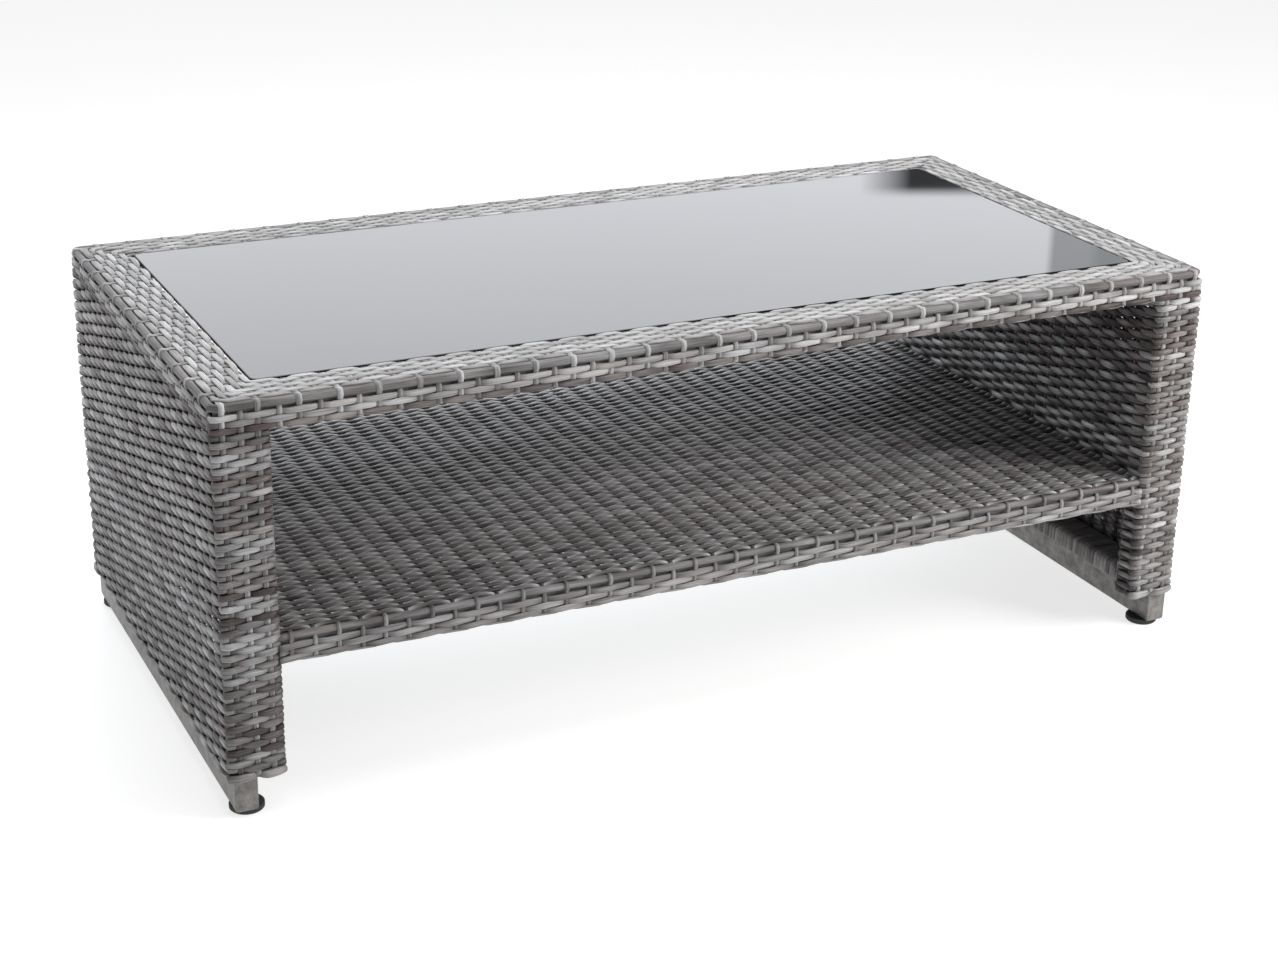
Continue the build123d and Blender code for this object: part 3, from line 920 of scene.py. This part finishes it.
def add_border_stake(stake):
    rng = np.random.default_rng([51, stake.number])
    on_end = abs(stake.outward[0]) > 0
    on_leg = abs(stake.place[0]) > BORDER_IN_X
    full = stake.reach > BORDER_WIDE
    face, top = -SKIN_DEPTH, TOP - SKIN_DEPTH
    low = WEAVE_LOW if on_leg else BORDER_LOW + SKIN_DEPTH
    inner = -(BORDER_WIDE - SKIN_DEPTH)
    if full and not on_leg:
        section = Route([(face, low), (face, top), (inner, top), (inner, low)],
                        [2.0, CORD_TURN, 4.0, 2.0], True)
    elif full:
        section = Route([(face, low), (face, top), (inner, top), (inner, BORDER_LOW)],
                        [0, CORD_TURN, 4.0, 0], False)
    else:
        section = Route([(face, low), (face, top), (-max(stake.reach, CORD_TURN + 6.0), top)],
                        [0, CORD_TURN, 0], False)
    lowest = 0 if on_leg else APRON_FIRST
    path = [(row, (face, row_level(row))) for row in range(lowest, CORD_ROW)]
    path.append((CORD_ROW, (face - CORD_TURN * CORNER_IN, top - CORD_TURN * CORNER_IN)))
    path += [(row, (-top_inset(row), top)) for row in range(TOP_FIRST, INNER_FIRST)
             if top_inset(row) <= stake.reach]
    if full:
        path += [(row, (inner, inner_level(row))) for row in range(INNER_FIRST, UNDER_FIRST)]
    if full and not on_leg:
        path += [(row, (-under_inset(row), low))
                 for row in range(UNDER_FIRST, UNDER_FIRST + UNDER_ROWS)]
    rows = np.array([row for row, spot in path])
    spots = [spot for row, spot in path]
    signs = -over_signs(rows, stake.number)
    values = signs * np.where(rows >= TOP_FIRST, 0.8, STAKE_SWING)
    if on_end:
        values = np.where(rows < APRON_FIRST, sunk(values), values)
    if on_leg:
        flare = [end_flare(row_level(row)) if row < APRON_FIRST else 0 for row in rows]
        values = values + np.array(flare)
    at_cord = rows == CORD_ROW
    values = np.where(at_cord, np.where(signs > 0, CORD_RADIUS + 0.2, -3.0), values)
    light = STAKE_LIGHT
    if on_end:
        # Below the apron the stakes on the ends' side faces are darkened with painted shade
        light = np.where(rows < APRON_FIRST, SHADED_STAKE_LIGHT, APRON_STAKE_LIGHT)
    elif on_leg and abs(stake.place[0]) > HALF_LENGTH - 15:
        # Painted shade: beside a leg's outer corner the stakes are darker below the apron
        light = np.where(rows < APRON_FIRST, 0.28, APRON_STAKE_LIGHT)
    binder = None
    if signs[at_cord][0] > 0:
        # Over the cord, and close round its inner side
        binder = float(section.near(np.array(spots))[at_cord][0])
        rows = np.append(rows, CORD_ROW + 0.5)
        spots.append((-2 * CORD_RADIUS, top - 0.4))
        values = np.append(values, 0.35)
        if np.ndim(light) > 0:
            light = np.append(light, APRON_STAKE_LIGHT)
    weave_stake(border_stakes, section, np.array([*stake.place, 0.0]),
                np.array([*stake.outward, 0.0]), np.array([*stake.sideways, 0.0]),
                section.near(np.array(spots)), values, stake_wander(stake.number, rows), rng,
                light, binder=binder)


for stake in outer_stakes:
    add_border_stake(stake)
border_stakes.build("border_stakes", stake_material)

# --- The shelf ---

SHELF_STAKES = 42
SHELF_ROW = 6.4              # about; a whole number of rows fits between the cords
SHELF_CORD = 3.9             # radius of the cords along its edges
SHELF_TURN = 9.0             # radius of the stakes' turn over them
SHELF_UNDER = 4              # rows under each rail
UNDER_PITCH = 8.5
# Rows of the deck darkened with painted shade, each by its y and how much darker it is
SHELF_PAINTED_SHADE = ((65.0, 0.07), (13.0, 0.16), (-113.0, 0.18), (-215.0, 0.16), (-222.0, 0.14))
# Painted light: the deck's rows behind REAR_Y are lighter than the rest
DECK_LIGHT, REAR_PAINTED_LIGHT, REAR_Y = 0.74, 0.84, 130.0
# Painted shade: the deck's rows in front of EDGE_Y are darker
EDGE_SHADE, EDGE_Y = 0.08, -235.0
shelf_x = -BORDER_IN_X + (np.arange(SHELF_STAKES) + 0.5) * 2 * BORDER_IN_X / SHELF_STAKES
shelf_face, shelf_level = HALF_WIDTH - SKIN_DEPTH, SHELF_TOP - SKIN_DEPTH
shelf_under = SHELF_LOW + SKIN_DEPTH
deck_edge = HALF_WIDTH - 2 * SHELF_CORD - 0.4
DECK_ROWS = 2 * int(deck_edge / SHELF_ROW) + 1
deck_pitch = 2 * deck_edge / DECK_ROWS

# (facing, y, z) for each row, from under the front rail over the deck to under the back rail
front_list = [("down", -(LEG_BACK_Y + (k + 0.5) * (HALF_WIDTH - LEG_BACK_Y) / SHELF_UNDER),
               shelf_under) for k in range(SHELF_UNDER)]
front_list += [("side", -shelf_face, SHELF_LOW + 0.5 + ROW * (k + 0.5)) for k in range(APRON_ROWS)]
front_list.append(("cord", -1, 0))
shelf_list = front_list + [("up", -deck_edge + (k + 0.5) * deck_pitch, shelf_level)
                           for k in range(DECK_ROWS)]
shelf_list += [(facing, -y, z) for facing, y, z in front_list[::-1]]


def shelf_wave(y):
    """The deck's rows wander, most near its front edge."""
    size = 0.3 + 2.0 * math.exp(-(((y + 216.0) / 30.0) ** 2))

    def wave(place):
        x = place[:, 0]
        return size * (0.6 * np.sin(x / 71.0 + y / 90.0)
                       + 0.4 * np.sin(x / 27.0 + 1.3 + y / 40.0))

    return wave


def shelf_wander(number, index):
    return 0.5 * stake_wander(300 + number, 0.6 * np.asarray(index, float))


def add_shelf_cord(side, rng):
    t = np.arange(-BORDER_IN_X, BORDER_IN_X + 1, 7.0)
    n = len(t)
    out = np.tile(np.array([0, side, 1.0]) * math.sqrt(0.5), (n, 1))
    across = np.cross(out, np.tile([1.0, 0, 0], (n, 1)))
    bend = 0.5 * ramp_noise(t, 70.0, rng)
    middle = np.column_stack([t, np.full(n, side * (HALF_WIDTH - SHELF_CORD - 0.2)),
                              SHELF_TOP - SHELF_CORD - 0.3 + bend])
    shelf_cords.add(middle, out, across, SHELF_CORD * (1 + 0.04 * ramp_noise(t, 30.0, rng)),
                    2 * SHELF_CORD, t, strand_tone(t, 0.45, 0.12, rng, 0.2), ROUND_PROFILE)


shelf_front, shelf_back, shelf_cords, shelf_stakes = Strands(), Strands(), Strands(), Strands()
for index, (facing, y, z) in enumerate(shelf_list):
    rng = np.random.default_rng([61, index])
    if facing == "cord":
        add_shelf_cord(y, rng)
        continue
    heading = 1 if y < 0 or facing == "up" else -1
    line = Route([(-heading * BORDER_IN_X, y), (heading * BORDER_IN_X, y)], 0, False)
    strayed = np.array([shelf_wander(k, index) for k in range(SHELF_STAKES)])
    spots = np.column_stack([shelf_x + strayed, np.full(SHELF_STAKES, y)])
    look = dict(half=0.52 * (UNDER_PITCH if facing == "down" else ROW), light=0.56, shade=0.12)
    if facing == "up":
        light = DECK_LIGHT if y < REAR_Y else REAR_PAINTED_LIGHT
        for place_y, darker in SHELF_PAINTED_SHADE:
            if abs(y - place_y) < deck_pitch / 2:
                light -= darker
        if y < EDGE_Y:
            light -= EDGE_SHADE
        # Here the wefts carry painted highlights at their dips, beside the stakes darkened with
        # painted shade
        look = dict(half=0.52 * deck_pitch, wave=shelf_wave(y), notch=0.20, light=light,
                    shade=-0.40)
    weave_row(shelf_front if y < 0 else shelf_back, line, line.near(spots),
              over_signs(index, np.arange(SHELF_STAKES)), z, facing, rng, thick=3.1, swing=1.3,
              taper=0.03, jitter=0.05, spread=0.13, warm=0.2, **look)

shelf_section = Route(
    [(-LEG_BACK_Y, shelf_under), (-shelf_face, shelf_under), (-shelf_face, shelf_level),
     (shelf_face, shelf_level), (shelf_face, shelf_under), (LEG_BACK_Y, shelf_under)],
    [0, 2.0, SHELF_TURN, SHELF_TURN, 2.0, 0], False)
turn_in = SHELF_TURN * CORNER_IN
index = np.arange(len(shelf_list))
on_deck = np.array([row[0] == "up" for row in shelf_list])
at_cord = np.array([row[0] == "cord" for row in shelf_list])
shelf_spots = np.array([(y * (shelf_face - turn_in), shelf_level - turn_in)
                        if facing == "cord" else (y, z) for facing, y, z in shelf_list])
for k, x in enumerate(shelf_x):
    signs = -over_signs(index, k)
    values = np.where(at_cord, np.where(signs > 0, SHELF_CORD + 0.7, -2.5), signs * 0.5)
    # On the deck the stakes are darkened with painted shade
    # The section runs clockwise seen from the right, so its outer side is on the left
    weave_stake(shelf_stakes, shelf_section, np.array([x, 0.0, 0.0]), np.array([0.0, 1.0, 0.0]),
                np.array([1.0, 0.0, 0.0]), shelf_section.near(shelf_spots), -values,
                shelf_wander(k, index), np.random.default_rng([62, k]),
                np.where(on_deck, SHADED_STAKE_LIGHT, 0.52), half=2.3)
shelf_front.build("shelf_rows_front", weft_material, "shelf_wicker_front")
shelf_back.build("shelf_rows_back", weft_material, "shelf_wicker_back")
shelf_stakes.build("shelf_stakes", stake_material, "shelf_deck")
shelf_cords.build("shelf_edge_cords", cord_material)

# --- Strand coiled round the bottom rails ---

COIL_TURNS, COIL_STEPS = 80, 22
COIL_HALF, COIL_THICK = 3.15, 2.2
for end, end_name in ((-1, "left"), (1, "right")):
    coil = Strands()
    box_low, box_high = node_box(f"bottom_rail_wicker_{end_name}")
    inset = COIL_THICK / 2
    x0, x1 = box_low[0] + inset, box_high[0] - inset
    z0, z1 = box_low[2] + inset, box_high[2] - inset
    ring = Route([(x0, z0), (x1, z0), (x1, z1), (x0, z1)], 3.0, True)
    y_from, y_to = -LEG_BACK_Y + 3.0, LEG_BACK_Y - 3.0
    t = np.linspace(0, ring.length * COIL_TURNS, COIL_TURNS * COIL_STEPS + 1)
    rng = np.random.default_rng([71, end + 1])
    place, heading = ring.at(np.where(t == t[-1], t - 1e-6, t))
    y = y_from + (y_to - y_from) * (t / t[-1]) + 0.35 * ramp_noise(t, 150.0, rng)
    out = np.stack([np.sin(heading), np.zeros(len(t)), -np.cos(heading)], 1)
    along = np.stack([np.cos(heading), np.zeros(len(t)), np.sin(heading)], 1)
    coil.add(np.column_stack([place[:, 0], y, place[:, 1]]), out, np.cross(out, along), COIL_HALF,
             COIL_THICK, t, strand_tone(t, 0.5, 0.18, rng, 0.3), WEFT_PROFILE)
    coil.build(f"bottom_rail_coil_{end_name}", weft_material, f"bottom_rail_wicker_{end_name}")

# --- Studio, in metres ---


def staged_plane(name, corners, material):
    """A plane that isn't part of the table."""
    mesh = bpy.data.meshes.new(name)
    mesh.from_pydata(corners, [], [(0, 1, 2, 3)])
    mesh.materials.append(material)
    made = bpy.data.objects.new(name, mesh)
    bpy.context.scene.collection.objects.link(made)
    return made


FLOOR_REACH = 30
floor_material, _, floor_shader = new_material("pale_floor")
floor_shader.inputs["Base Color"].default_value = (0.40, 0.40, 0.40, 1.0)
floor_shader.inputs["Roughness"].default_value = 0.9
floor_shader.inputs["Specular IOR Level"].default_value = 0.1
floor_shader.inputs["Emission Color"].default_value = (1.0, 1.0, 1.0, 1.0)
floor_shader.inputs["Emission Strength"].default_value = 0.70
staged_plane("floor", [(x * FLOOR_REACH, y * FLOOR_REACH, 0)
                       for x, y in ((-1, -1), (1, -1), (1, 1), (-1, 1))], floor_material)

world = bpy.data.worlds.new("studio")
bpy.context.scene.world = world
world.use_nodes = True
world.node_tree.nodes["Background"].inputs[0].default_value = (0.97, 0.98, 1.0, 1.0)
world.node_tree.nodes["Background"].inputs[1].default_value = 0.40


def area_light(name, place, aim, size, power, colour=(1.0, 1.0, 1.0)):
    data = bpy.data.lights.new(name, "AREA")
    data.shape = "RECTANGLE"
    data.size, data.size_y = size
    data.energy = power
    data.color = colour
    lamp = bpy.data.objects.new(name, data)
    bpy.context.scene.collection.objects.link(lamp)
    lamp.location = place
    direction = Vector(aim) - Vector(place)
    lamp.rotation_euler = direction.to_track_quat("-Z", "Y").to_euler()
    lamp.visible_camera = False
    return lamp


area_light("overhead", (0.2, 0.0, 3.3), (0.0, 0.0, 0.3), (3.0, 2.4), 92.0)
area_light("front_right", (1.9, -1.4, 1.2), (0.5, -0.2, 0.35), (1.1, 0.9), 56.0, (1.0, 0.98, 0.95))
rear_light = area_light("rear", (0.0, 0.82, 0.42), (0.0, 0.1, 0.2), (1.7, 0.25), 15.0,
                        (0.88, 0.95, 1.0))
rear_light.visible_glossy = False

# A studio wall behind the table that shows only in reflections, mostly the glass's

WALL_Y, WALL_X, WALL_Z = 3.5, (-7, 8), (0.7, 4.5)
WALL_COLOUR, WALL_STRENGTH = (0.94, 0.955, 1.0, 1.0), 2.55


def add_wall():
    """Bright, grey past two upright edges at its right, with one dark opening."""
    material = bpy.data.materials.new("backdrop")
    material.use_nodes = True
    tree = material.node_tree
    tree.nodes.clear()
    coords = node(tree, "ShaderNodeTexCoord")
    parts = node(tree, "ShaderNodeSeparateXYZ", {0: coords.outputs["Object"]})
    x, z = parts.outputs[0], parts.outputs[2]

    def step(value, start, end, low, high):
        made = node(tree, "ShaderNodeMapRange", {0: value, 1: start, 2: end, 3: low, 4: high})
        return made.outputs[0]

    def times(a, b):
        return math_node(tree, "MULTIPLY", a, b)

    edge = step(x, 3.125, 3.155, 1.0, 0.50)
    second = step(x, 3.29, 3.34, 1.0, 0.80)
    slope = math_node(tree, "MULTIPLY_ADD", x, -0.10, z)
    opening = times(step(x, 2.42, 2.60, 0.0, 1.0), step(slope, 1.230, 1.262, 1.0, 0.0))
    opening = times(opening, step(x, 3.0, 3.06, 1.0, 0.0))
    clear = math_node(tree, "MULTIPLY_ADD", opening, -0.97, 1.0)
    strength = times(times(times(edge, second), clear), WALL_STRENGTH)
    light = node(tree, "ShaderNodeEmission", {"Color": WALL_COLOUR, "Strength": strength})
    output = node(tree, "ShaderNodeOutputMaterial")
    tree.links.new(light.outputs[0], output.inputs[0])
    corners = [(WALL_X[0], WALL_Y, WALL_Z[0]), (WALL_X[1], WALL_Y, WALL_Z[0]),
               (WALL_X[1], WALL_Y, WALL_Z[1]), (WALL_X[0], WALL_Y, WALL_Z[1])]
    made = staged_plane("backdrop", corners, material)
    made.visible_camera = False
    made.visible_diffuse = False
    made.visible_shadow = False


add_wall()

# --- Camera ---

AZIMUTH, PITCH, ROLL = math.radians(25.743), math.radians(21.930), math.radians(0.945)
CAMERA_PLACE = (-1.1433, -2.3904, 1.2451)
camera_data = bpy.data.cameras.new("camera")
camera = bpy.data.objects.new("camera", camera_data)
bpy.context.scene.collection.objects.link(camera)
camera_data.sensor_width = 36.0
camera_data.lens = 65.54
camera_data.clip_end = 100.0
ahead = Vector((math.sin(AZIMUTH) * math.cos(PITCH), math.cos(AZIMUTH) * math.cos(PITCH),
                -math.sin(PITCH)))
right_level = Vector((math.cos(AZIMUTH), -math.sin(AZIMUTH), 0.0))
up_level = right_level.cross(ahead)
right = right_level * math.cos(ROLL) + up_level * math.sin(ROLL)
up = up_level * math.cos(ROLL) - right_level * math.sin(ROLL)
rotation = Matrix((right, up, -ahead)).transposed().to_4x4()
camera.matrix_world = Matrix.Translation(CAMERA_PLACE) @ rotation
bpy.context.scene.camera = camera
bpy.context.scene.view_settings.view_transform = "Standard"
